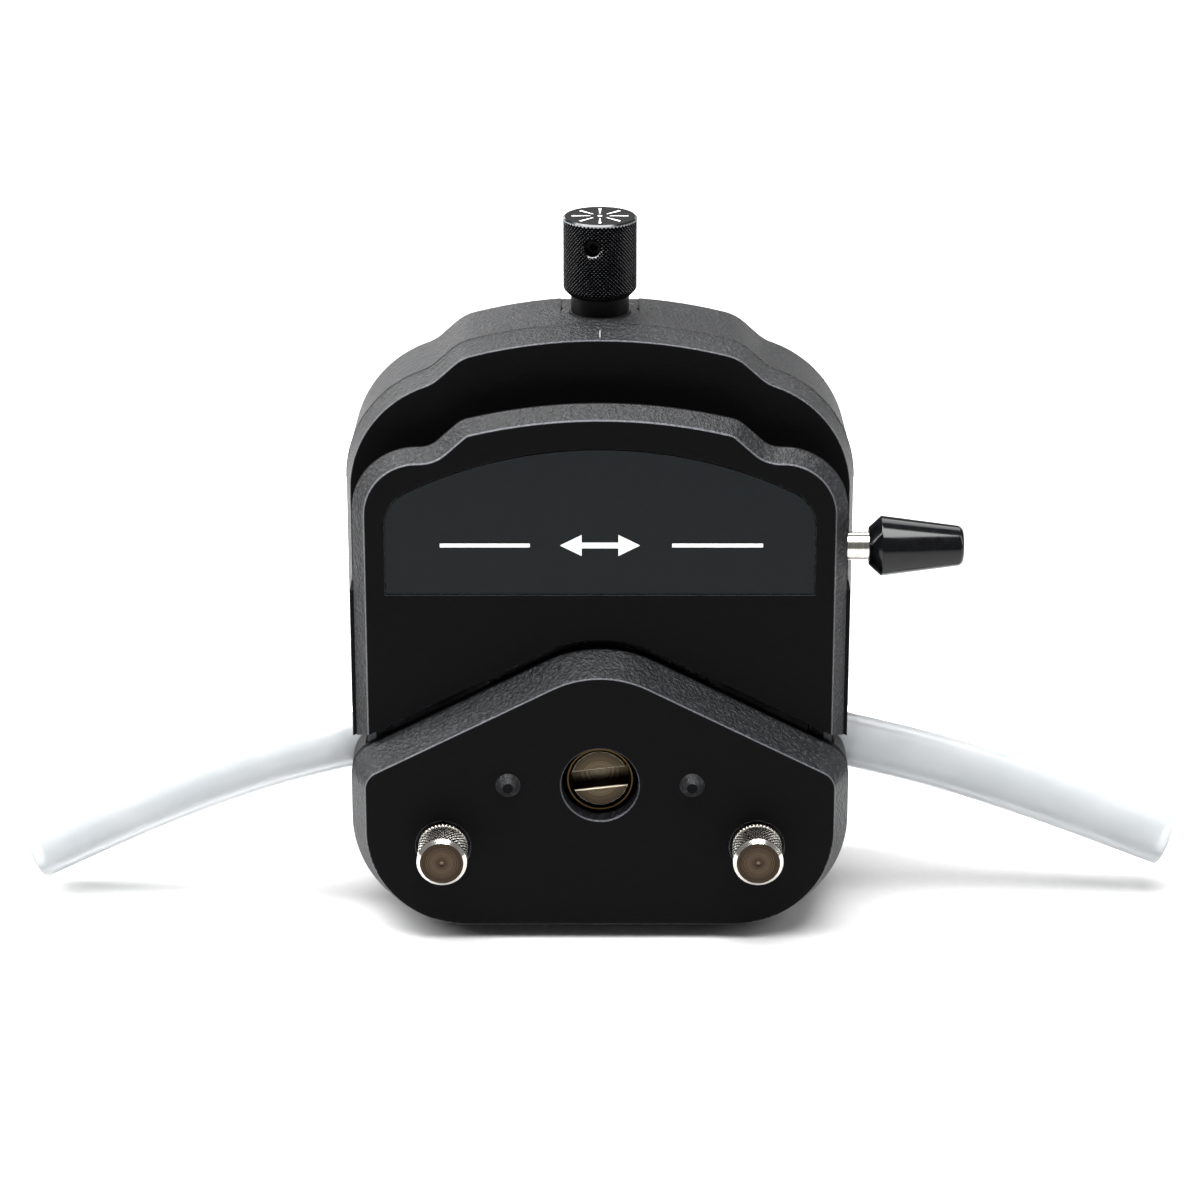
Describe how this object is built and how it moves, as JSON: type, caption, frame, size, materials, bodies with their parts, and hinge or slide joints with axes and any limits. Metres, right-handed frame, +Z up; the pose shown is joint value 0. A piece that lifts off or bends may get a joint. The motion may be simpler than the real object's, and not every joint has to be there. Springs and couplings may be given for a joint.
{
  "type": "peristaltic pump head",
  "caption": "Peristaltic pump head: lever-lifted jaw over a roller rotor, knurled gap knob on top, thumb screws in front, soft tube out of both sides.",
  "frame": {"origin": "on the rotor's axis, in the rear face that seats on the drive", "axes": "+X to the right seen from the front, +Y back towards the drive along the rotor's axis, +Z up"},
  "size_m": [0.2486, 0.0676, 0.1478],
  "materials": {
    "black_moulding": "fine grained black glass-filled moulding",
    "label_panel": "matt blue-grey panel",
    "bronze": "turned sintered bronze",
    "steel": "ground and turned stainless steel",
    "dark_steel": "turned steel with a warm dark tint",
    "bright_steel": "bright turned stainless steel",
    "aluminium": "machined aluminium",
    "black_anodised": "black anodised, diamond knurled",
    "gloss_black": "polished black resin",
    "silicone": "translucent milky silicone",
    "seal_rubber": "black nitrile",
    "white_polymer": "light polymer ring"
  },
  "bodies": {
    "base": {"base_housing": "black_moulding", "front_cover": "black_moulding", "front_bush": "bronze", "rear_bearing_outer": "steel", "rear_seal": "seal_rubber", "guide_posts": "steel", "lift_crosshead": "steel", "crosshead_nuts": "steel", "follower_pin": "steel", "lower_tube_clamps": "black_moulding", "cover_screws": "steel", "tube_inner": "silicone", "tube_left": "silicone", "tube_right": "silicone"},
    "jaw": {"jaw_housing": "black_moulding", "jaw_front_plate": "black_moulding", "label_plate": "label_panel", "upper_tube_clamps": "black_moulding", "guide_bushes": "bronze", "lever_bushes": "bronze", "jaw_screws": "steel", "back_cover": "black_moulding", "back_cover_screws": "steel", "spindle_bush": "bronze", "spindle_washer": "white_polymer"},
    "lever": {"lever_shaft": "steel", "lever_rod": "bright_steel", "lever_handle": "gloss_black", "lever_cam": "steel", "cam_screw": "steel"},
    "adjuster": {"adjust_knob": "black_anodised", "adjust_spindle": "steel", "spindle_clip": "steel", "knob_set_screw": "steel"},
    "bed": {"occlusion_bed": "black_moulding", "bed_yoke": "steel", "adjust_nut": "bronze", "bed_screws": "steel"},
    "rotor": {"rotor_shaft": "dark_steel", "rotor_flange_front": "aluminium", "rotor_flange_rear": "aluminium", "rotor_spacer": "steel", "roller_axles": "steel", "axle_clips": "steel", "rear_bearing_inner": "steel", "rear_bearing_balls": "steel"},
    "left_thumb_screw": {"thumb_screw_left": "bright_steel"},
    "right_thumb_screw": {"thumb_screw_right": "bright_steel"},
    "pressure_roller_1": {"roller_1": "steel", "roller_bushes_1": "bronze"},
    "pressure_roller_2": {"roller_2": "steel", "roller_bushes_2": "bronze"},
    "pressure_roller_3": {"roller_3": "steel", "roller_bushes_3": "bronze"},
    "pressure_roller_4": {"roller_4": "steel", "roller_bushes_4": "bronze"}
  },
  "joints": [
    {"name": "jaw_lift", "type": "slide", "parent": "base", "child": "jaw", "axis": [0, 0, 1], "range_m": [0, 0.009]},
    {"name": "lever_swing", "type": "hinge", "parent": "jaw", "child": "lever", "pos_m": [0, -0.034, 0.0475], "axis": [0, -1, 0], "range_deg": [0, 180]},
    {"name": "knob_turn", "type": "hinge", "parent": "jaw", "child": "adjuster", "pos_m": [0, -0.0115, 0.1], "axis": [0, 0, 1], "range_deg": [0, 360]},
    {"name": "bed_travel", "type": "slide", "parent": "jaw", "child": "bed", "axis": [0, 0, 1], "range_m": [0, 0.001]},
    {"name": "rotor_turn", "type": "hinge", "parent": "base", "child": "rotor", "pos_m": [0, -0.025, 0], "axis": [0, -1, 0], "continuous": true},
    {"name": "roller_turn_1", "type": "hinge", "parent": "rotor", "child": "pressure_roller_1", "pos_m": [0.01096, -0.025, 0.01096], "axis": [0, -1, 0], "continuous": true},
    {"name": "roller_turn_2", "type": "hinge", "parent": "rotor", "child": "pressure_roller_2", "pos_m": [-0.01096, -0.025, 0.01096], "axis": [0, -1, 0], "continuous": true},
    {"name": "roller_turn_3", "type": "hinge", "parent": "rotor", "child": "pressure_roller_3", "pos_m": [-0.01096, -0.025, -0.01096], "axis": [0, -1, 0], "continuous": true},
    {"name": "roller_turn_4", "type": "hinge", "parent": "rotor", "child": "pressure_roller_4", "pos_m": [0.01096, -0.025, -0.01096], "axis": [0, -1, 0], "continuous": true},
    {"name": "left_thumb_turn", "type": "hinge", "parent": "base", "child": "left_thumb_screw", "pos_m": [-0.033, -0.025, -0.014], "axis": [0, -1, 0], "continuous": true},
    {"name": "right_thumb_turn", "type": "hinge", "parent": "base", "child": "right_thumb_screw", "pos_m": [0.033, -0.025, -0.014], "axis": [0, -1, 0], "continuous": true}
  ],
  "couplings": [
    {"joint": "lever_swing", "follows": "jaw_lift", "rad_per_m": 349.06},
    {"joint": "knob_turn", "follows": "bed_travel", "rad_per_m": 6283.2},
    {"joint": "roller_turn_1", "follows": "rotor_turn", "ratio": -3.3846},
    {"joint": "roller_turn_2", "follows": "rotor_turn", "ratio": -3.3846},
    {"joint": "roller_turn_3", "follows": "rotor_turn", "ratio": -3.3846},
    {"joint": "roller_turn_4", "follows": "rotor_turn", "ratio": -3.3846}
  ]
}
